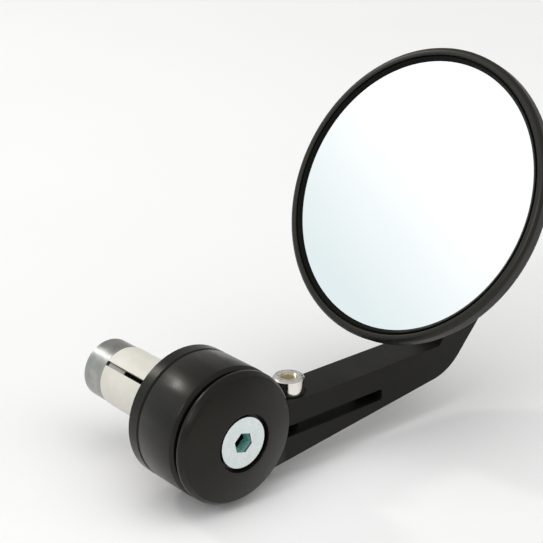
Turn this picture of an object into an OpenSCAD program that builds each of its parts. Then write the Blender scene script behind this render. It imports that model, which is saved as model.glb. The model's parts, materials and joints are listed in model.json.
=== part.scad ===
// Bar-end mirror: a plug that expands inside a handlebar end, a slit clamp arm
// that turns on the plug, and a round mirror head on a ball joint.
// X runs out along the handlebar, Y forward along the arm, Z up.
// The origin is on the bar axis, in the plane that seats against the bar end.

/* [Bar end] */
// Diameter of the collar and of the clamp ring
ring_d = 36; // [34:0.5:40]
// Width of the collar against the bar
collar_w = 4.1; // [3:0.1:6]
// Width of the clamp ring
clamp_w = 14; // [13:0.5:18]
// Diameter of the spigot that the clamp ring turns on
spigot_d = 25; // [22:0.5:26]
// Width of the dark groove between the clamp ring and the end cap
groove_w = 1.7; // [1.5:0.1:3]
// Diameter of the end cap
cap_d = 35.6; // [34:0.2:36]
// Radius of the dome on the end cap
dome_r = 48; // [40:1:80]
// Height of the end cap from its back edge to the top of the dome
cap_h = 5.4; // [5:0.1:6]

/* [Plug] */
// Outer diameter of the plug, for the inside of the bar
plug_d = 17.2; // [15:0.2:18]
// Length of the expander sleeve
sleeve_l = 22; // [18:1:28]
// Number of slits in the expander sleeve
sleeve_slits = 4; // [3:1:6]

/* [Arm] */
// Thickness of the arm, along the bar axis
arm_t = 11.5; // [10:0.5:13]
// Height of the arm's flat top above the bar axis
arm_top = 1.9; // [1:0.1:3]
// Depth of the arm's lower edge below the bar axis, measured at the axis
arm_low = 16.8; // [16:0.1:17.2]
// Rise of the arm's lower edge towards the elbow, in degrees
arm_rise = 6.5; // [5:0.5:8]
// Distance from the bar axis to the outer corner of the elbow
elbow_y = 81.6; // [76:0.2:86]
// Angle of the leg behind the elbow, above the horizontal
leg_angle = 48; // [44:1:52]
// Width of the leg
leg_w = 9.7; // [9:0.1:11]
// Height of the clamp slit
slit_h = 3.1; // [2.5:0.1:3.5]
// Depth of the middle of the slit below the bar axis
slit_z = 6.15; // [5.8:0.05:6.5]
// Distance from the bar axis to the end of the slit
slit_end = 54.5; // [50:0.5:58]
// Distance from the bar axis to the clamp screw
screw_y = 25; // [24:0.2:30]

/* [Mirror head] */
// Diameter of the visible glass
glass_d = 75.2; // [73:0.2:75.4]
// Diameter of the housing
housing_d = 82.6; // [82.4:0.2:86]
// Depth of the straight side of the housing
side_h = 3.6; // [3.2:0.1:4.2]
// Backward tilt of the glass from upright, in degrees
glass_tilt = 27.7; // [20:0.1:34]
// Turn of the glass out of the arm's plane, in degrees
glass_turn = 3; // [0:0.5:6]
// Distance of the ball from the bar axis, along Y
ball_y = 79.8; // [78:0.1:84]
// Height of the ball above the bar axis
ball_z = 41.9; // [39:0.1:44]
// Diameter of the ball
ball_d = 14; // [13:0.5:14]

/* [Hidden] */
$fn = 96;
eps = 0.01;
big = 200;

black = [0.10, 0.10, 0.10];
steel = [0.72, 0.71, 0.68];
zinc = [0.85, 0.88, 0.89];
rubber = [0.06, 0.06, 0.06];
acetal = [0.88, 0.87, 0.82];

ring_r = ring_d / 2;
edge = 0.4;
ring_bevel = 0.9;
gap = 0.1;
spigot_r = spigot_d / 2;
spigot_end = collar_w + clamp_w + 2 * gap;
clamp_x0 = collar_w + gap;
clamp_x1 = clamp_x0 + clamp_w;
clamp_fit = 0.04;
cap_x0 = clamp_x1 + groove_w;
cap_top = cap_x0 + cap_h;
cap_hub_r = spigot_r + 2;
cap_side = 1.5;
cap_bevel = 1.1;

bolt_r = 4;
bolt_hole_r = 4.3;
bolt_head_r = 6.8;
bolt_head_land = 0.4;
bolt_sink = 1.2;
bolt_face = cap_top - bolt_sink;
bolt_l = 60;
bolt_hex = 5;
recess_r = 7.8;

plug_r = plug_d / 2;
pilot_l = 4;
pilot_cone_l = 3.4;
cone_r = 6.9;
cone_tip_r = 5.2;
sleeve_x1 = -pilot_l - 0.2;
sleeve_x0 = sleeve_x1 - sleeve_l;
slit_w = 1.4;
wedge_l = 9;

arm_x1 = clamp_x1;
arm_x0 = arm_x1 - arm_t;
arm_mid = (arm_x0 + arm_x1) / 2;
elbow_z = elbow_y * tan(arm_rise) - arm_low;
elbow_r = 16;
leg_dir = [cos(leg_angle), sin(leg_angle)];
leg_left = [-sin(leg_angle), cos(leg_angle)];
leg_straight = 18.5;
elbow = [elbow_y, elbow_z];
leg_end = elbow + leg_straight * leg_dir + leg_w / 2 * leg_left;

// The hub axis runs back from the glass, in the plane of Y and Z.
hub_back = [cos(glass_tilt), -sin(glass_tilt)];
ball_at = [ball_y, ball_z];
lug_from_ball = 18;
lug_at = ball_at + lug_from_ball * hub_back;
lug_r = 7.5;
lug_l = 11;
lug_spot_r = 6.8;
chord = lug_at - leg_end;
chord_angle = atan2(chord[1], chord[0]);
leg_turn = 2 * (chord_angle - leg_angle);
leg_bend_r = norm(chord) / (2 * sin(leg_turn / 2));
leg_bend_at = leg_end + leg_bend_r * leg_left;

screw_r = 2.5;
screw_hole_r = 2.75;
screw_head_r = 4.25;
screw_head_h = 5;
screw_hex = 4;
screw_l = 14;
spot_r = 4.8;
spot_depth = 0.4;

ball_r = ball_d / 2;
ball_depth = 14;
joint_gap = 0.1;
liner_r0 = ball_r + joint_gap;
liner_r1 = ball_r + 1.2;
socket_seat_r = liner_r1 + joint_gap;
socket_r = 9.8;
hub_r = 13.5;
hub_end = 22;
seat_edge = 0.4;
liner_z0 = 2.1;
liner_z1 = 4.7;
seat_back = 7.4;
spring_h = 1.5;
pocket_floor = seat_back - spring_h - 2 * joint_gap;
stud_r = 3;
neck_r = 3.2;
shoulder_r = 5;
shoulder_h = 1.3;
washer_h = 1.4;
nut_h = 5;
nut_across = 10;
stud_tail = 1.6;

housing_r = housing_d / 2;
lip_r = housing_r - 2.2;
rim_round = 0.8;
glass_r = glass_d / 2;
glass_cut_r = glass_r + 0.9;
glass_face = 1.2;
glass_t = 2;
glass_dome_r = 1200;
gasket_h = 0.15;
pad_h = 0.8;
pad_r = glass_r - 1.4;
floor_z = glass_face + glass_t + pad_h;

// Solid of revolution about X from points of [x, radius]
module turned(points) {
    rotate([0, 90, 0])
        rotate([0, 0, 90])
            rotate_extrude()
                polygon([for (p = points) [p[1], p[0]]]);
}

// Solid of revolution about Z from points of [depth behind the glass, radius]
module head_turned(points) {
    rotate_extrude()
        polygon([for (p = points) [p[1], -p[0]]]);
}

// Hexagonal prism, measured across its flats
module hex_prism(across, h) {
    cylinder(d = across / cos(30), h = h, $fn = 6);
}

// Points on an arc, from angle a0 to a1
function arc(at, r, a0, a1, steps) =
    [for (i = [0 : steps]) at + r * [cos(a0 + (a1 - a0) * i / steps), sin(a0 + (a1 - a0) * i / steps)]];

// Moves a piece from the arm's own plane, drawn in Y and Z, to its place
module in_arm_plane(x0, t) {
    translate([x0, 0, 0])
        rotate([90, 0, 90])
            linear_extrude(height = t)
                children();
}

// Frame of the hub at the ball, with Z pointing out of the glass
module at_ball() {
    translate([arm_mid, ball_y, ball_z])
        rotate([90 - glass_tilt, 0, 0])
            children();
}

// Frame of the mirror head, with Z out of the glass and the origin on its face
module at_head() {
    at_ball()
        rotate([0, glass_turn, 0])
            translate([0, 0, ball_depth])
                children();
}

module collar() {
    color(black)
        difference() {
            turned([
                [-pilot_l - pilot_cone_l, 0], [-pilot_l - pilot_cone_l, cone_tip_r + 0.3],
                [-pilot_l, cone_r], [-pilot_l, plug_r - 0.3], [-pilot_l + 0.3, plug_r],
                [0, plug_r], [0, ring_r - edge], [edge, ring_r],
                [collar_w - edge, ring_r], [collar_w, ring_r - edge],
                [collar_w, spigot_r], [spigot_end - edge, spigot_r],
                [spigot_end, spigot_r - edge], [spigot_end, 0]
            ]);
            translate([-big / 2, 0, 0])
                rotate([0, 90, 0])
                    cylinder(r = bolt_hole_r, h = big);
            // Lightening bore in the spigot, behind the cap
            translate([collar_w + 2, 0, 0])
                rotate([0, 90, 0])
                    cylinder(r = spigot_r - 3.5, h = clamp_w - 4);
        }
}

module expander_sleeve() {
    color(acetal)
        difference() {
            turned([
                [sleeve_x0, cone_tip_r + 2.4], [sleeve_x0, plug_r], [sleeve_x1, plug_r],
                [sleeve_x1, cone_r + 0.1], [sleeve_x1 - pilot_cone_l, cone_tip_r + 0.2],
                [sleeve_x0 + wedge_l * 0.6, cone_tip_r + 0.2]
            ]);
            for (i = [0 : sleeve_slits - 1])
                rotate([45 + i * 360 / sleeve_slits, 0, 0])
                    translate([sleeve_x0 - 1, -slit_w / 2, 0])
                        cube([sleeve_l - 4 + 1, slit_w, plug_r + 1]);
        }
}

module wedge_nut() {
    color(steel)
        difference() {
            turned([
                [sleeve_x0 - wedge_l, 0], [sleeve_x0 - wedge_l, plug_r - 1],
                [sleeve_x0 - wedge_l + 1, plug_r - 0.2], [sleeve_x0 - 0.3, plug_r - 0.2],
                [sleeve_x0 - 0.3, cone_tip_r + 2.1], [sleeve_x0 + wedge_l * 0.5, cone_tip_r],
                [sleeve_x0 + wedge_l * 0.5, 0]
            ]);
            translate([-big / 2, 0, 0])
                rotate([0, 90, 0])
                    cylinder(r = bolt_r, h = big);
        }
}

module center_bolt() {
    color(zinc)
        difference() {
            turned([
                [bolt_face - bolt_l, 0], [bolt_face - bolt_l, bolt_r - 0.8],
                [bolt_face - bolt_l + 0.8, bolt_r],
                [bolt_face - bolt_head_land - bolt_head_r + bolt_r, bolt_r],
                [bolt_face - bolt_head_land, bolt_head_r],
                [bolt_face, bolt_head_r], [bolt_face, 0]
            ]);
            translate([bolt_face - 3.4, 0, 0])
                rotate([0, 90, 0])
                    rotate([0, 0, 12])
                        hex_prism(bolt_hex, 4);
        }
}

module end_cap() {
    cap_r = cap_d / 2;
    bevel_x = cap_x0 + cap_side;
    color(black)
        difference() {
            intersection() {
                turned([
                    [spigot_end, 0], [spigot_end, cap_hub_r], [cap_x0, cap_hub_r],
                    [cap_x0, cap_r - edge], [cap_x0 + edge, cap_r], [bevel_x, cap_r],
                    [bevel_x + cap_bevel, cap_r - 1.3], [cap_top + 1, cap_r - 4.2], [cap_top + 1, 0]
                ]);
                translate([cap_top - dome_r, 0, 0])
                    sphere(r = dome_r, $fn = 200);
            }
            turned([
                [spigot_end - 1, 0], [spigot_end - 1, bolt_hole_r],
                [bolt_face - bolt_head_land - bolt_head_r + bolt_hole_r - 0.3, bolt_hole_r],
                [bolt_face - bolt_head_land + recess_r - bolt_head_r - 0.3, recess_r],
                [cap_top + 1, recess_r], [cap_top + 1, 0]
            ]);
        }
}

// Outline of the arm, its leg and the bend that carries the leg up to the lug, in Y and Z
module arm_outline() {
    run = elbow_r * tan((leg_angle - arm_rise) / 2);
    inner_run = (arm_top - elbow_z - leg_w * cos(leg_angle)) / sin(leg_angle);
    inner_corner_y = elbow_y - leg_w * sin(leg_angle) + inner_run * cos(leg_angle);
    elbow_at = elbow - run * [cos(arm_rise), sin(arm_rise)]
        + elbow_r * [-sin(arm_rise), cos(arm_rise)];
    leg_a0 = leg_angle - 90;
    leg_a1 = leg_a0 + leg_turn;
    polygon(concat(
        [[9, arm_top], [inner_corner_y, arm_top]],
        arc(leg_bend_at, leg_bend_r - leg_w / 2, leg_a0, leg_a1, 12),
        arc(leg_bend_at, leg_bend_r + leg_w / 2, leg_a1, leg_a0, 12),
        arc(elbow_at, elbow_r, leg_a0, arm_rise - 90, 12),
        [[4, 4 * tan(arm_rise) - arm_low]]
    ));
}

module slit_outline() {
    r = 0.8;
    half = slit_h / 2;
    translate([0, -slit_z]) {
        translate([8, -half])
            square([slit_end - r - 8, slit_h]);
        translate([8, -half + r])
            square([slit_end - 8, slit_h - 2 * r]);
        for (z = [-half + r, half - r])
            translate([slit_end - r, z])
                circle(r = r, $fn = 24);
    }
}

module clamp_arm() {
    color(black)
        difference() {
            union() {
                turned([
                    [clamp_x0, 0], [clamp_x0, ring_r - edge], [clamp_x0 + edge, ring_r],
                    [clamp_x1 - ring_bevel, ring_r], [clamp_x1, ring_r - ring_bevel], [clamp_x1, 0]
                ]);
                in_arm_plane(arm_x0, arm_t)
                    arm_outline();
                at_ball()
                    translate([0, 0, -lug_from_ball - lug_l / 2])
                        cylinder(r = lug_r, h = lug_l);
            }
            // Bore for the spigot
            translate([clamp_x0 - 1, 0, 0])
                rotate([0, 90, 0])
                    cylinder(r = spigot_r + clamp_fit, h = clamp_w + 2);
            in_arm_plane(-1, clamp_x1 + 2)
                slit_outline();
            // Spot face, clearance hole and tapped hole of the clamp screw
            translate([arm_mid, screw_y, arm_top - spot_depth])
                cylinder(r = spot_r, h = 10);
            translate([arm_mid, screw_y, -slit_z])
                cylinder(r = screw_hole_r, h = 20);
            translate([arm_mid, screw_y, -slit_z - 20])
                cylinder(r = screw_r, h = 20);
            // Hole for the ball stud, and the spot face that seats its washer
            at_ball()
                translate([0, 0, -lug_from_ball - lug_l])
                    cylinder(r = stud_r, h = 2 * lug_l);
            at_ball()
                translate([0, 0, -lug_from_ball - 2 * lug_l])
                    cylinder(r = lug_spot_r, h = 1.5 * lug_l);
        }
}

module clamp_screw() {
    seat_z = arm_top - spot_depth;
    color(steel)
        translate([arm_mid, screw_y, seat_z])
            difference() {
                rotate_extrude()
                    polygon([
                        [0, -screw_l], [screw_r - 0.5, -screw_l], [screw_r, -screw_l + 0.5],
                        [screw_r, 0], [screw_head_r, 0], [screw_head_r, screw_head_h - 0.4],
                        [screw_head_r - 0.4, screw_head_h], [0, screw_head_h]
                    ]);
                translate([0, 0, screw_head_h - 2.6])
                    rotate([0, 0, 20])
                        hex_prism(screw_hex, 3);
            }
}

module ball_stud() {
    front = lug_from_ball - lug_l / 2;
    tail = lug_from_ball + lug_l / 2 + washer_h + nut_h + stud_tail;
    color(steel)
        at_ball()
            union() {
                sphere(r = ball_r);
                rotate_extrude()
                    polygon([
                        [0, 0], [neck_r, 0], [neck_r, -front + shoulder_h + 1],
                        [neck_r + 1, -front + shoulder_h], [shoulder_r, -front + shoulder_h],
                        [shoulder_r, -front], [stud_r, -front], [stud_r, -tail + 0.6],
                        [stud_r - 0.6, -tail], [0, -tail]
                    ]);
            }
}

module stud_washer() {
    color(steel)
        at_ball()
            translate([0, 0, -lug_from_ball - lug_l / 2 - washer_h])
                difference() {
                    cylinder(r = 5.4, h = washer_h);
                    translate([0, 0, -1])
                        cylinder(r = stud_r + 0.1, h = washer_h + 2);
                    // Split of the spring washer
                    translate([0, -0.5, -1])
                        cube([8, 1, washer_h + 2]);
                }
}

module stud_nut() {
    color(steel)
        at_ball()
            translate([0, 0, -lug_from_ball - lug_l / 2 - washer_h - nut_h])
                difference() {
                    intersection() {
                        hex_prism(nut_across, nut_h);
                        rotate_extrude()
                            polygon([
                                [0, 0], [nut_across / 2, 0], [nut_across / 2 + 0.9, 0.6],
                                [nut_across / 2 + 0.9, nut_h - 0.6], [nut_across / 2, nut_h], [0, nut_h]
                            ]);
                    }
                    translate([0, 0, -1])
                        cylinder(r = stud_r, h = nut_h + 2);
                }
}

// Spherical ring that floats between the ball and the socket nut
module rear_liner() {
    color(acetal)
        at_ball()
            difference() {
                sphere(r = liner_r1);
                sphere(r = liner_r0);
                translate([-big / 2, -big / 2, -liner_z0])
                    cube([big, big, big]);
                translate([-big / 2, -big / 2, -liner_z1 - big])
                    cube([big, big, big]);
            }
}

// Block with a spherical face that the ball bears on, free to turn in the socket
module seat_block() {
    color(acetal)
        at_head()
            difference() {
                translate([0, 0, -ball_depth + seat_edge])
                    cylinder(r = socket_r - joint_gap, h = ball_depth - seat_edge - seat_back);
                translate([0, 0, -ball_depth])
                    sphere(r = liner_r0);
            }
}

module disc_spring() {
    color(steel)
        at_head()
            head_turned([
                [seat_back - joint_gap, 4], [seat_back - joint_gap - 0.6, 4],
                [seat_back - spring_h, socket_r - 0.4], [seat_back - spring_h + 0.6, socket_r - 0.4]
            ]);
}

module housing() {
    color(black)
        at_head()
            difference() {
                head_turned(concat(
                    [[0, 0]],
                    arc([rim_round, housing_r - rim_round], rim_round, 180, 90, 6),
                    [[side_h, housing_r], [side_h + 0.5, housing_r - 0.2], [side_h + 1.2, housing_r - 1.4]],
                    [[side_h + 3.4, housing_r - 13], [side_h + 5.2, hub_r + 6]],
                    [[side_h + 7, hub_r + 1.6], [side_h + 9.4, hub_r]],
                    [[hub_end - 0.8, hub_r], [hub_end, hub_r - 0.8], [hub_end, 0]]
                ));
                // Recess for the bezel and the glass
                translate([0, 0, -floor_z])
                    cylinder(r = lip_r, h = floor_z + 1);
                // Socket, open at the back
                translate([0, 0, -hub_end - 1])
                    cylinder(r = socket_r, h = hub_end + 1 - pocket_floor);
                // Tapped hole of the locking grub
                translate([0, 0, -hub_end + 3])
                    rotate([90, 0, 0])
                        cylinder(r = 1.5, h = hub_r + 2);
            }
}

module socket_nut() {
    back = hub_end - 0.3;
    opening_r = 7.3;
    throat_r = 5.6;
    throat_z = ball_depth + 4.6;
    color(black)
        at_head()
            difference() {
                translate([0, 0, -back])
                    cylinder(r = socket_r, h = back - ball_depth - seat_edge);
                translate([0, 0, -ball_depth])
                    sphere(r = socket_seat_r);
                // Opening that clears the neck of the ball stud
                translate([0, 0, -back - 0.1])
                    cylinder(r1 = opening_r, r2 = throat_r, h = back + 0.1 - throat_z);
                // Spanner slots
                for (a = [0, 90])
                    rotate([0, 0, a])
                        translate([-socket_r - 1, -1, -back - 1])
                            cube([2 * socket_r + 2, 2, 2.2]);
            }
}

module socket_grub() {
    color(steel)
        at_head()
            translate([0, 0, -hub_end + 3])
                rotate([90, 0, 0])
                    translate([0, 0, socket_r])
                        difference() {
                            cylinder(r = 1.5, h = hub_r - socket_r - 0.3);
                            translate([0, 0, 1.6])
                                hex_prism(1.5, 3);
                        }
}

module glass_pad() {
    color(rubber)
        at_head()
            translate([0, 0, -floor_z])
                cylinder(r = pad_r, h = pad_h);
}

// Height of the domed glass above its edge, at radius r
function glass_rise(r) = (pow(glass_cut_r, 2) - pow(r, 2)) / (2 * glass_dome_r);

module mirror_glass() {
    color([0.86, 0.90, 0.92])
        at_head()
            head_turned(concat(
                [[glass_face + glass_t, 0], [glass_face + glass_t, glass_cut_r]],
                [for (r = [glass_cut_r : -glass_cut_r / 8 : -eps]) [glass_face - glass_rise(r), max(r, 0)]]
            ));
}

module glass_gasket() {
    inner_r = glass_r + 0.3;
    color(rubber)
        at_head()
            head_turned([
                [glass_face - glass_rise(inner_r), inner_r], [glass_face, glass_cut_r],
                [glass_face - gasket_h, glass_cut_r], [glass_face - gasket_h, inner_r]
            ]);
}

// Ring that holds the glass, with a bevel down to it and a groove inside the housing's lip
module bezel() {
    top = glass_face - gasket_h;
    crest_r = glass_r + 0.9;
    groove_r = crest_r + 0.25;
    color(black)
        at_head()
            head_turned([
                [top, glass_r], [0.3, crest_r - 0.1], [0.3, crest_r + 0.1], [0.8, groove_r],
                [0.8, lip_r], [floor_z, lip_r], [floor_z, glass_cut_r + 0.05], [top, glass_cut_r + 0.05]
            ]);
}

collar();
expander_sleeve();
wedge_nut();
center_bolt();
end_cap();
clamp_arm();
clamp_screw();
ball_stud();
stud_washer();
stud_nut();
rear_liner();
seat_block();
disc_spring();
housing();
socket_nut();
socket_grub();
glass_pad();
mirror_glass();
glass_gasket();
bezel();
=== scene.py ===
"""Bar-end mirror: finishes, threads, softened edges, floor, light and camera."""

import json
import math

import bmesh
import bpy
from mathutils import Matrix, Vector


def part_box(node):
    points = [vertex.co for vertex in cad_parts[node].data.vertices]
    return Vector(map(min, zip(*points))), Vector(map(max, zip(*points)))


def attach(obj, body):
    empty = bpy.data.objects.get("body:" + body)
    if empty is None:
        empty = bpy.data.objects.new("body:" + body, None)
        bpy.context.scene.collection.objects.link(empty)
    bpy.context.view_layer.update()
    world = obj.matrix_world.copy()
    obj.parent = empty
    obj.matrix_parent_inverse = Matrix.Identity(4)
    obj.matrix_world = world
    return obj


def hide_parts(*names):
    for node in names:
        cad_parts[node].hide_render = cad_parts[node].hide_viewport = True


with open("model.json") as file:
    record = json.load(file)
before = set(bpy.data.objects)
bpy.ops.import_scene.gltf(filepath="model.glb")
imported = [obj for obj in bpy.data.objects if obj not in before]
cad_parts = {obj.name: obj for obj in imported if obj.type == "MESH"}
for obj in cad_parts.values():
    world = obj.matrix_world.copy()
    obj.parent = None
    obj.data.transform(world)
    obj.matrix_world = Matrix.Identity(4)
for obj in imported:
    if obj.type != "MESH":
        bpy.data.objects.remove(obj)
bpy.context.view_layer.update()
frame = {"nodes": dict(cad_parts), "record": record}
nodes = frame["nodes"]

MM = 0.001
ORIGIN = Vector((0, 0, 0))
JOINTS = {j["name"]: j for j in frame["record"]["behaviour"]["joints"]}
BAR_AXIS = Vector((1, 0, 0))
UP = Vector((0, 0, 1))
HUB_AXIS = Vector(JOINTS["head_spin"]["axis"]).normalized()
BALL_AT = Vector(JOINTS["head_spin"]["pos_m"])
STUD_AXIS = BAR_AXIS.cross(Vector(JOINTS["head_turn"]["axis"])).normalized()

# Camera of the photograph
CAMERA_AT = Vector((260.8, -193.7, 163.4)) * MM
CAMERA_LOOK = Vector((-0.7085, 0.6073, -0.3595)).normalized()
CAMERA_LENS = 91.89
CAMERA_SENSOR = 36.0

FLOOR_Z = -20.5 * MM
FLOOR_HALF_SIDE = 3.0

# The bright part of the surroundings, which the glass shows to the camera
SKY_LOOK = Vector((-0.564, -0.705, 0.43)).normalized()

# Azimuth and elevation in degrees, and strength, of the glows that light the object
SKY_GLOWS = ((0, 90, 1.55), (23, 42, 1.85), (-67, 42, 1.55), (135, 12, 0.2))
GLOW_TIGHTNESS = 8.0

# Soft boxes look at this point
LIT_AT = Vector((0, 0.03, 0.01))

# Faceting of the turned pieces, and how near two points have to be to be joined
TURNED_STEPS = 192
CAD_JOIN = 0.002 * MM
OWN_JOIN = 0.0002 * MM
SMOOTH_ANGLE = 28
THREAD_SMOOTH_ANGLE = 32

# Depth of a thread in pitches
THREAD_DEPTH = 0.61


def linear(red, green, blue):
    """Linear colour with alpha from the three bytes of a screen colour."""
    def one(value):
        value = value / 255
        return value / 12.92 if value <= 0.04045 else ((value + 0.055) / 1.055) ** 2.4
    return (one(red), one(green), one(blue), 1.0)


def new_node(tree, kind, **sockets):
    """A shader node with the given input values."""
    node = tree.nodes.new(kind)
    for name, value in sockets.items():
        node.inputs[name.replace("_", " ")].default_value = value
    return node


def maths(tree, operation, first, second=None):
    """Output of one Math node; each value is a number or an output."""
    node = tree.nodes.new("ShaderNodeMath")
    node.operation = operation
    for socket, value in zip(node.inputs, (first, second)):
        if value is None:
            continue
        if isinstance(value, (int, float)):
            socket.default_value = value
        else:
            tree.links.new(value, socket)
    return node.outputs[0]


def vector_maths(tree, operation, first, second=None, output="Vector", scale=None):
    """Output of one Vector Math node; each value is a vector or an output."""
    node = tree.nodes.new("ShaderNodeVectorMath")
    node.operation = operation
    for socket, value in zip(node.inputs, (first, second)):
        if value is None:
            continue
        if isinstance(value, (tuple, Vector)):
            socket.default_value = tuple(value)
        else:
            tree.links.new(value, socket)
    if scale is not None:
        tree.links.new(scale, node.inputs["Scale"])
    return node.outputs[output]


def object_coordinates(tree):
    return tree.nodes.new("ShaderNodeTexCoord").outputs["Object"]


def turned_distance(tree, centre, axis):
    """Distance along a lathe's cut, with the two that it is the sum of: across and along the axis."""
    offset = vector_maths(tree, "SUBTRACT", object_coordinates(tree), centre)
    along = vector_maths(tree, "DOT_PRODUCT", offset, axis, "Value")
    on_axis = vector_maths(tree, "SCALE", axis, scale=along)
    radius = vector_maths(tree, "LENGTH", vector_maths(tree, "SUBTRACT", offset, on_axis), output="Value")
    return maths(tree, "ADD", along, radius), radius, along


def noise(tree, scale, detail):
    node = new_node(tree, "ShaderNodeTexNoise", Scale=scale, Detail=detail, Roughness=0.55)
    tree.links.new(object_coordinates(tree), node.inputs["Vector"])
    return node.outputs["Fac"]


def noise_along(tree, distance, scale):
    """Noise that changes in one direction only, such as a lathe's fine grooves."""
    node = new_node(tree, "ShaderNodeTexNoise", Scale=scale, Detail=2.0, Roughness=0.6)
    node.noise_dimensions = "1D"
    tree.links.new(distance, node.inputs["W"])
    return node.outputs["Fac"]


def ranged(tree, value, low, high, from_low=0.3, from_high=0.7):
    """The value carried from one range to another and held at the new one's ends."""
    node = new_node(
        tree, "ShaderNodeMapRange", From_Min=from_low, From_Max=from_high, To_Min=low, To_Max=high)
    tree.links.new(value, node.inputs["Value"])
    return node.outputs["Result"]


def mixed(tree, factor, first, second):
    """Colour between two others, by a factor output."""
    node = tree.nodes.new("ShaderNodeMix")
    node.data_type = "RGBA"
    tree.links.new(factor, node.inputs["Factor"])
    for socket, value in ((node.inputs[6], first), (node.inputs[7], second)):
        if isinstance(value, tuple):
            socket.default_value = value
        else:
            tree.links.new(value, socket)
    return node.outputs[2]


def bump(tree, height, strength, distance):
    node = new_node(tree, "ShaderNodeBump", Strength=strength, Distance=distance)
    tree.links.new(height, node.inputs["Height"])
    return node.outputs["Normal"]


def principled(name, **sockets):
    """A material with its Principled shader's own values set, its tree and its shader."""
    material = bpy.data.materials.new(name)
    material.use_nodes = True
    shader = material.node_tree.nodes["Principled BSDF"]
    for socket, value in sockets.items():
        shader.inputs[socket.replace("_", " ")].default_value = value
    return material, material.node_tree, shader


def black_anodised(name, ior, gloss, centre=None, axis=None, groove=0.0, turned_end=None):
    """Bead-blasted black anodising, with a lathe's fine grooves where an axis is given.

    Up to the distance turned_end along Y the surface has the closer, shinier finish of a turned face.
    """
    material, tree, shader = principled(
        name, IOR=ior, Specular_IOR_Level=0.5, Specular_Tint=(1.0, 0.96, 0.86, 1.0))
    blotch = noise(tree, 90, 4)
    grain = noise(tree, 5200, 2)
    colour = mixed(tree, ranged(tree, blotch, 0.0, 1.0), linear(12, 12, 11), linear(17, 17, 15))
    colour = mixed(tree, ranged(tree, grain, 0.0, 0.35), colour, linear(30, 30, 27))
    tree.links.new(colour, shader.inputs["Base Color"])
    rough = ranged(tree, noise(tree, 260, 3), gloss, gloss + 0.06)
    if turned_end is not None:
        along_y = vector_maths(tree, "DOT_PRODUCT", object_coordinates(tree), (0, 1, 0), "Value")
        turned = ranged(tree, along_y, 1.0, 0.0, turned_end, turned_end + 1.5 * MM)
        rough = maths(tree, "SUBTRACT", rough, maths(tree, "MULTIPLY", turned, 0.07))
        index = maths(tree, "ADD", maths(tree, "MULTIPLY", turned, 0.12), ior)
        tree.links.new(index, shader.inputs["IOR"])
    tree.links.new(rough, shader.inputs["Roughness"])
    height = maths(tree, "MULTIPLY", grain, 0.5)
    if axis is not None:
        distance, _, _ = turned_distance(tree, centre, axis)
        grooves = maths(tree, "MULTIPLY", noise_along(tree, distance, 7000), groove)
        height = maths(tree, "ADD", height, grooves)
    tree.links.new(bump(tree, height, 0.25, 0.02 * MM), shader.inputs["Normal"])
    return material


def plated(name, colour, recess_colour, face, axis, centre, depth, head, rough=0.28):
    """A plated screw with another tone in its recess, and a painted shade that turns the shank below its
    head a dull dark grey.

    The recess reaches from its face down to the depth, and the head is as high as the length head.
    """
    material, tree, shader = principled(name, Metallic=1.0, Specular_IOR_Level=0.5)
    distance, radius, along = turned_distance(tree, centre, axis)
    deep = ranged(tree, along, 1.0, 0.0, face - 0.77 * MM, face - 0.35 * MM)
    open_end = ranged(tree, along, 0.0, 1.0, face - depth - 0.2 * MM, face - depth - 0.1 * MM)
    inner = ranged(tree, radius, 1.0, 0.0, 2.9 * MM, 3.1 * MM)
    inside = maths(tree, "MULTIPLY", maths(tree, "MULTIPLY", deep, open_end), inner)
    metal = maths(tree, "SUBTRACT", 1.0, maths(tree, "MULTIPLY", inside, 0.7))
    tree.links.new(metal, shader.inputs["Metallic"])
    # Painted shade: below the head the shank is mixed to a dull dark grey, which stands in for the shade
    # of the slit and hole it sits in.
    shank = ranged(tree, along, 1.0, 0.0, face - head - 0.5 * MM, face - head - 0.2 * MM)
    blotch = ranged(tree, noise(tree, 420, 4), 0.0, 1.0)
    bright = mixed(tree, blotch, colour, tuple(0.9 * c for c in colour[:3]) + (1.0,))
    # The painted shade's colour on the shank.
    bright = mixed(tree, shank, bright, linear(58, 56, 52))
    tree.links.new(mixed(tree, inside, bright, recess_colour), shader.inputs["Base Color"])
    sheen = ranged(tree, noise(tree, 700, 3), rough - 0.05, rough + 0.08)
    tree.links.new(sheen, shader.inputs["Roughness"])
    grooves = noise_along(tree, distance, 9000)
    tree.links.new(bump(tree, grooves, 0.18, 0.01 * MM), shader.inputs["Normal"])
    return material


def plain_steel(name):
    material, tree, shader = principled(name, Metallic=1.0)
    blotch = ranged(tree, noise(tree, 300, 4), 0.0, 1.0)
    colour = mixed(tree, blotch, linear(168, 168, 164), linear(146, 146, 144))
    tree.links.new(colour, shader.inputs["Base Color"])
    tree.links.new(ranged(tree, noise(tree, 900, 3), 0.3, 0.42), shader.inputs["Roughness"])
    tree.links.new(bump(tree, noise(tree, 6000, 2), 0.15, 0.01 * MM), shader.inputs["Normal"])
    return material


def acetal(name):
    material, tree, shader = principled(name, IOR=1.48, Subsurface_Weight=0.08, Subsurface_Scale=1.5 * MM)
    blotch = ranged(tree, noise(tree, 160, 3), 0.0, 1.0)
    colour = mixed(tree, blotch, linear(226, 224, 214), linear(216, 213, 202))
    tree.links.new(colour, shader.inputs["Base Color"])
    tree.links.new(ranged(tree, noise(tree, 700, 3), 0.36, 0.5), shader.inputs["Roughness"])
    tree.links.new(bump(tree, noise(tree, 2600, 3), 0.12, 0.02 * MM), shader.inputs["Normal"])
    return material


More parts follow.
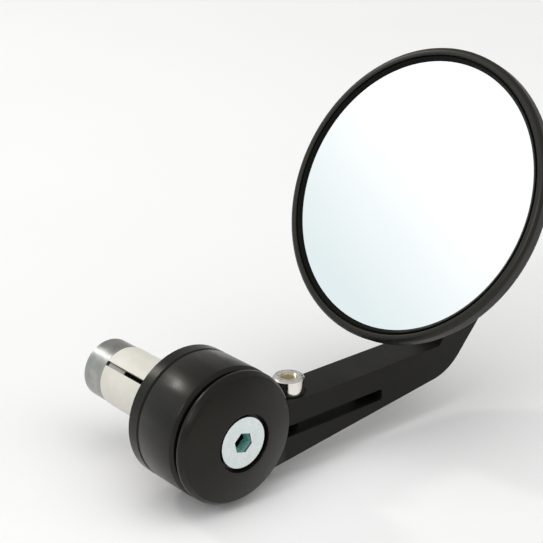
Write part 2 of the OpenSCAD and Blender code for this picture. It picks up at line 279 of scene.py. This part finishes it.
def soft_rubber(name):
    material, tree, shader = principled(name, IOR=1.5, Specular_IOR_Level=0.3)
    speck = ranged(tree, noise(tree, 3000, 3), 0.0, 1.0)
    colour = mixed(tree, speck, linear(17, 17, 17), linear(27, 27, 26))
    tree.links.new(colour, shader.inputs["Base Color"])
    tree.links.new(ranged(tree, noise(tree, 800, 3), 0.62, 0.78), shader.inputs["Roughness"])
    tree.links.new(bump(tree, noise(tree, 4000, 3), 0.2, 0.02 * MM), shader.inputs["Normal"])
    return material


def mirror_face(name):
    """Silvered glass with a faint cool tint."""
    material, tree, shader = principled(name, Metallic=1.0, Roughness=0.012)
    haze = ranged(tree, noise(tree, 45, 3), 0.0, 1.0)
    colour = mixed(tree, haze, (0.95, 0.975, 0.98, 1.0), (0.965, 0.985, 0.985, 1.0))
    tree.links.new(colour, shader.inputs["Base Color"])
    return material


def give(material, *names):
    """The material for these CAD nodes."""
    for name in names:
        nodes[name].data.materials.clear()
        nodes[name].data.materials.append(material)


def soften(name, width):
    """Rounds the sharp edges of a CAD node a little, with modifiers alone."""
    obj = nodes[name]
    weld = obj.modifiers.new("weld", "WELD")
    weld.merge_threshold = CAD_JOIN
    flat = obj.modifiers.new("flat faces", "DECIMATE")
    flat.decimate_type = "DISSOLVE"
    flat.angle_limit = math.radians(0.5)
    edge = obj.modifiers.new("soft edges", "BEVEL")
    edge.width = width
    edge.segments = 2
    edge.limit_method = "ANGLE"
    edge.angle_limit = math.radians(SMOOTH_ANGLE)
    edge.harden_normals = True
    edge.use_clamp_overlap = True


def thread_radius(turns, along, low, high, radius, pitch):
    """Radius of a 60 degree thread, with flats at root and crest, that fades in at both ends."""
    wave = 1 - abs(2 * (turns % 1) - 1)
    height = min(max((wave - 0.12) / 0.76, 0), 1)
    fade = min(max(min(along - low, high - along) / pitch, 0), 1)
    return radius - (1 - height) * fade * THREAD_DEPTH * pitch


def opened(name, gone):
    """A copy of a CAD node's shape without the faces that gone() names."""
    shape = bmesh.new()
    shape.from_mesh(nodes[name].data)
    bmesh.ops.remove_doubles(shape, verts=shape.verts, dist=CAD_JOIN)
    bmesh.ops.delete(shape, geom=[face for face in shape.faces if gone(face)], context="FACES")
    return shape


def add_rings(shape, at, axis, profile, around, closed=False):
    """Turned surface through pairs of a distance along the axis and a radius.

    A radius may be a function of the turn, which runs from 0 to 1.
    """
    side = axis.orthogonal().normalized()
    other = axis.cross(side)
    rings = []
    for along, radius in profile:
        ring = []
        for step in range(around):
            angle = 2 * math.pi * step / around
            spoke = math.cos(angle) * side + math.sin(angle) * other
            length = radius(step / around) if callable(radius) else radius
            ring.append(shape.verts.new(at + along * axis + length * spoke))
        rings.append(ring)
    following_rings = rings[1:] + rings[:1] if closed else rings[1:]
    for before, after in zip(rings, following_rings):
        for step in range(around):
            following = (step + 1) % around
            shape.faces.new((before[step], before[following], after[following], after[step]))
    return rings


def finished(shape, name, body, node, material, smooth_angle=SMOOTH_ANGLE):
    """The piece made of a shape: it rides on its body and stands for a CAD node."""
    bmesh.ops.remove_doubles(shape, verts=shape.verts, dist=OWN_JOIN)
    bmesh.ops.recalc_face_normals(shape, faces=shape.faces)
    mesh = bpy.data.meshes.new(name)
    shape.to_mesh(mesh)
    shape.free()
    mesh.shade_smooth()
    mesh.set_sharp_from_angle(angle=math.radians(smooth_angle))
    mesh.materials.append(material)
    piece = bpy.data.objects.new(name, mesh)
    bpy.context.scene.collection.objects.link(piece)
    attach(piece, body)
    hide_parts(node)


def threaded(node, body, material, at, axis, tip, low, high, neck, radius, pitch, around=48):
    """A screw like its CAD node, with a real thread on its shank.

    The distances tip, low, high and neck are measured from the point at, along the axis, towards the head.
    The shank runs from tip to neck and the thread from low to high.
    """
    rows_a_pitch = 12
    reach = 0.02 * MM

    def on_shank(vertex):
        offset = vertex.co - at
        along = offset.dot(axis)
        return along < neck + reach and (offset - along * axis).length < radius + reach

    def crest(along):
        return along, lambda turn: thread_radius(along / pitch - turn, along, low, high, radius, pitch)

    shape = opened(node, lambda face: all(on_shank(vertex) for vertex in face.verts))
    count = math.ceil((high - low) / pitch * rows_a_pitch)
    profile = [(tip, radius - THREAD_DEPTH * pitch)]
    profile += [crest(low + (high - low) * row / count) for row in range(count + 1)]
    profile.append((neck, radius))
    rings = add_rings(shape, at, axis, profile, around)
    shape.faces.new(rings[0])
    finished(shape, node + "_threaded", body, node, material, THREAD_SMOOTH_ANGLE)


def dress_nodes():
    """Materials for all nodes, and the pieces that stand for some of them."""
    turned_bar = black_anodised("black_anodised_turned", 1.34, 0.27, ORIGIN, BAR_AXIS, 1.2)
    turned_head = black_anodised("black_anodised_head", 1.42, 0.33, BALL_AT, HUB_AXIS, 0.8)
    milled = black_anodised("black_anodised_milled", 1.25, 0.34, turned_end=18 * MM)
    give(turned_bar, "collar")
    turn_end_cap(turned_bar)
    give(milled, "clamp_arm")
    soften("clamp_arm", 0.35 * MM)
    round_lip(turned_head)
    give(turned_head, "socket_nut")
    give(black_anodised("black_anodised_bezel", 1.15, 0.3, BALL_AT, HUB_AXIS, 0.5), "bezel")
    bolt_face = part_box("center_bolt")[1].x
    zinc = plated("zinc_plated", (0.74, 0.80, 0.80, 1.0), linear(150, 214, 206),
                  bolt_face, BAR_AXIS, ORIGIN, depth=4 * MM, head=5 * MM)
    screw_low, screw_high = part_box("clamp_screw")
    screw_at = (screw_low + screw_high) / 2
    screw_at.z = 0
    bright = plated("bright_screw", (0.86, 0.84, 0.78, 1.0), linear(150, 132, 84),
                    screw_high.z, UP, screw_at, depth=3 * MM, head=5 * MM, rough=0.14)
    steel = plain_steel("plain_steel")
    cut_threads(zinc, bright, steel, screw_at)
    give(steel, "wedge_nut", "stud_nut", "stud_washer", "disc_spring", "socket_grub")
    give(acetal("acetal"), "expander_sleeve", "rear_liner", "seat_block")
    give(soft_rubber("soft_rubber"), "glass_pad", "glass_gasket")
    lay_glass(mirror_face("mirror_face"))


def rounded(profile, radius):
    """The profile with each marked corner rounded.

    A marked corner has a third value, which says how many radii it is cut back.
    """
    steps = 4
    result = []
    for index, point in enumerate(profile):
        if len(point) == 2:
            result.append(point)
            continue
        corner = Vector(point[:2])
        before = (Vector(profile[index - 1][:2]) - corner).normalized()
        after = (Vector(profile[(index + 1) % len(profile)][:2]) - corner).normalized()
        reach = radius * point[2]
        for step in range(steps + 1):
            share = step / steps
            spot = ((1 - share) ** 2 * (corner + before * reach) + 2 * share * (1 - share) * corner
                    + share ** 2 * (corner + after * reach))
            result.append((spot.x, spot.y))
    return result


def turn_end_cap(material):
    """The end cap with its tapered rim, dome and counterbore turned finely, in millimetres."""
    low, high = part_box("end_cap")
    back = low.x / MM
    crown = high.x / MM + 0.64
    dome = 48.0
    shelf = back + 1.6
    bolt_r = 4.4
    tail_r = 14.5
    side_r = 17.8
    taper_r = 16.8
    bore_r = 7.8
    bore_floor = crown - 2.3
    seat_r = 6.3
    seat_foot = crown - 4.2

    def dome_at(radius):
        return crown - dome + math.sqrt(dome ** 2 - radius ** 2)

    profile = [(back, bolt_r), (back, tail_r), (shelf, tail_r)]
    profile += [(shelf, side_r, 1.0), (shelf + 0.9, side_r, 1.0), (dome_at(taper_r), taper_r, 1.0)]
    profile += [(dome_at(radius), radius) for radius in range(16, 8, -1)]
    profile += [(dome_at(bore_r), bore_r, 0.5), (bore_floor, bore_r)]
    profile += [(bore_floor, seat_r), (seat_foot, bolt_r)]
    turned = [(along * MM, radius * MM) for along, radius in rounded(profile, 0.3)]
    shape = bmesh.new()
    add_rings(shape, ORIGIN, BAR_AXIS, turned, TURNED_STEPS, closed=True)
    finished(shape, "end_cap_turned", "plug", "end_cap", material)


def lay_glass(material):
    """The domed mirror glass with one smooth face, in millimetres."""
    edge_r = 38.5
    edge = 12.8
    back = 10.8
    dome = 1200
    rings = 14
    profile = [(back, 0.0), (back, edge_r)]
    for ring in range(rings + 1):
        radius = edge_r * (rings - ring) / rings
        profile.append((edge + (edge_r ** 2 - radius ** 2) / (2 * dome), radius))
    turned = [(along * MM, radius * MM) for along, radius in profile]
    shape = bmesh.new()
    add_rings(shape, BALL_AT, HUB_AXIS, turned, TURNED_STEPS)
    finished(shape, "mirror_glass_smooth", "head", "mirror_glass", material)


def round_lip(material):
    """The housing with a full round on its lip."""
    lip_r = 39.1 * MM
    side_r = 41.3 * MM
    face = 14 * MM
    inner_end = face - 4 * MM
    outer_end = face - 3.6 * MM
    inner_steps = 4
    outer_steps = 10

    def on_lip(face_of_cad):
        for vertex in face_of_cad.verts:
            offset = vertex.co - BALL_AT
            if (offset - offset.dot(HUB_AXIS) * HUB_AXIS).length < lip_r - 0.05 * MM:
                return False
        middle = face_of_cad.calc_center_median() - BALL_AT
        return middle.dot(HUB_AXIS) > outer_end - 0.1 * MM

    shape = opened("housing", on_lip)
    profile = [(inner_end, lip_r)]
    for step in range(inner_steps + 1):
        turn = math.radians(90 * step / inner_steps)
        across = 1 - math.cos(turn)
        down = 1 - math.sin(turn)
        profile.append((face - 0.3 * MM * down, lip_r + 0.35 * MM * across))
    for step in range(outer_steps + 1):
        turn = math.radians(90 * step / outer_steps)
        across = 1 - math.sin(turn)
        down = 1 - math.cos(turn)
        profile.append((face - 1.1 * MM * down, side_r - 1.5 * MM * across))
    profile.append((outer_end, side_r))
    add_rings(shape, BALL_AT, HUB_AXIS, profile, TURNED_STEPS)
    finished(shape, "housing_rounded", "head", "housing", material)


def cut_threads(bolt, screw, stud, screw_at):
    """Real threads on the centre bolt, the clamp screw and the tail of the ball stud."""
    bolt_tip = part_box("center_bolt")[0].x
    threaded("center_bolt", "plug", bolt, ORIGIN, BAR_AXIS,
             tip=bolt_tip, low=bolt_tip + 0.5 * MM, high=bolt_tip + 24 * MM, neck=20.9 * MM,
             radius=4 * MM, pitch=1.25 * MM)
    screw_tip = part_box("clamp_screw")[0].z
    threaded("clamp_screw", "arm", screw, screw_at, UP,
             tip=screw_tip, low=screw_tip + 0.3 * MM, high=1.0 * MM, neck=1.5 * MM,
             radius=2.5 * MM, pitch=0.8 * MM, around=40)
    threaded("ball_stud", "arm", stud, BALL_AT, STUD_AXIS,
             tip=-31.5 * MM, low=-31.2 * MM, high=-15 * MM, neck=-12.5 * MM,
             radius=3 * MM, pitch=1 * MM, around=40)


def make_floor():
    """A white paper floor with a hardly visible change of tone."""
    size = FLOOR_HALF_SIDE
    mesh = bpy.data.meshes.new("floor")
    corners = [(-size, -size, 0), (size, -size, 0), (size, size, 0), (-size, size, 0)]
    mesh.from_pydata(corners, [], [(0, 1, 2, 3)])
    floor = bpy.data.objects.new("floor", mesh)
    floor.location = (0, 0, FLOOR_Z)
    bpy.context.scene.collection.objects.link(floor)
    material, tree, shader = principled("floor_paper", Roughness=0.9, Specular_IOR_Level=0.0)
    patches = ranged(tree, noise(tree, 3, 2), 0.0, 1.0)
    colour = mixed(tree, patches, (0.93, 0.93, 0.935, 1.0), (0.955, 0.955, 0.955, 1.0))
    tree.links.new(colour, shader.inputs["Base Color"])
    mesh.materials.append(material)


def glow(tree, direction, azimuth, elevation, strength):
    """A soft glow in the sky round one direction, given in degrees."""
    flat = math.cos(math.radians(elevation))
    centre = (flat * math.cos(math.radians(azimuth)), flat * math.sin(math.radians(azimuth)),
              math.sin(math.radians(elevation)))
    towards = vector_maths(tree, "DOT_PRODUCT", direction, centre, "Value")
    falloff = maths(tree, "MULTIPLY", maths(tree, "SUBTRACT", towards, 1.0), GLOW_TIGHTNESS)
    return maths(tree, "MULTIPLY", maths(tree, "EXPONENT", falloff), strength)


def make_world():
    """Soft white surroundings: glows for diffuse light, and a bright window for mirrors and gloss."""
    world = bpy.data.worlds.new("studio")
    world.use_nodes = True
    tree = world.node_tree
    tree.nodes.clear()
    output = tree.nodes.new("ShaderNodeOutputWorld")
    direction = tree.nodes.new("ShaderNodeTexCoord").outputs["Generated"]
    towards = vector_maths(tree, "DOT_PRODUCT", direction, tuple(SKY_LOOK), "Value")
    height = vector_maths(tree, "DOT_PRODUCT", direction, (0.2, 0, 1), "Value")
    bright = ranged(tree, towards, 0.0, 1.0, 0.72, 0.93)
    cool = ranged(tree, height, 1.0, 0.0, 0.19, 0.33)
    window = mixed(tree, cool, (1.06, 1.06, 1.06, 1.0), (0.80, 0.875, 0.885, 1.0))
    seen = mixed(tree, bright, (0.52, 0.515, 0.50, 1.0), window)
    glossy_sky = new_node(tree, "ShaderNodeBackground", Strength=1.0)
    tree.links.new(seen, glossy_sky.inputs["Color"])
    glowing_sky = new_node(tree, "ShaderNodeBackground", Color=(1.0, 0.997, 0.99, 1.0))
    total = 0.0
    for azimuth, elevation, strength in SKY_GLOWS:
        total = maths(tree, "ADD", total, glow(tree, direction, azimuth, elevation, strength))
    tree.links.new(total, glowing_sky.inputs["Strength"])
    path = tree.nodes.new("ShaderNodeLightPath")
    shaped = maths(tree, "MAXIMUM", path.outputs["Is Glossy Ray"], path.outputs["Is Camera Ray"])
    mix = tree.nodes.new("ShaderNodeMixShader")
    tree.links.new(shaped, mix.inputs["Fac"])
    tree.links.new(glowing_sky.outputs[0], mix.inputs[1])
    tree.links.new(glossy_sky.outputs[0], mix.inputs[2])
    tree.links.new(mix.outputs[0], output.inputs["Surface"])
    bpy.context.scene.world = world


def soft_box(name, at, length, height, radiance, colour=(1.0, 1.0, 1.0)):
    """A soft box, its length level, that looks at the object."""
    light = bpy.data.lights.new(name, "AREA")
    light.shape = "RECTANGLE"
    light.size = length
    light.size_y = height
    light.energy = radiance * math.pi * length * height
    light.color = colour
    lamp = bpy.data.objects.new(name, light)
    lamp.location = at
    aim = LIT_AT - lamp.location
    lamp.rotation_euler = aim.to_track_quat("-Z", "Y").to_euler()
    bpy.context.scene.collection.objects.link(lamp)


def make_lights():
    soft_box("back_left", (-0.9, -0.27, 0.8), 0.16, 0.2, 20.0, (1.0, 0.985, 0.96))
    soft_box("front", (0.22, -0.9, 0.68), 0.16, 0.32, 12.0)


def make_camera():
    """The photograph's camera."""
    data = bpy.data.cameras.new("photo_camera")
    data.lens = CAMERA_LENS
    data.sensor_width = CAMERA_SENSOR
    data.sensor_fit = "HORIZONTAL"
    data.clip_start = 0.01
    data.clip_end = 20.0
    camera = bpy.data.objects.new("photo_camera", data)
    camera.location = CAMERA_AT
    camera.rotation_euler = (-CAMERA_LOOK).to_track_quat("Z", "Y").to_euler()
    bpy.context.scene.collection.objects.link(camera)
    bpy.context.scene.camera = camera


dress_nodes()
make_floor()
make_world()
make_lights()
make_camera()
bpy.context.scene.view_settings.view_transform = "Standard"
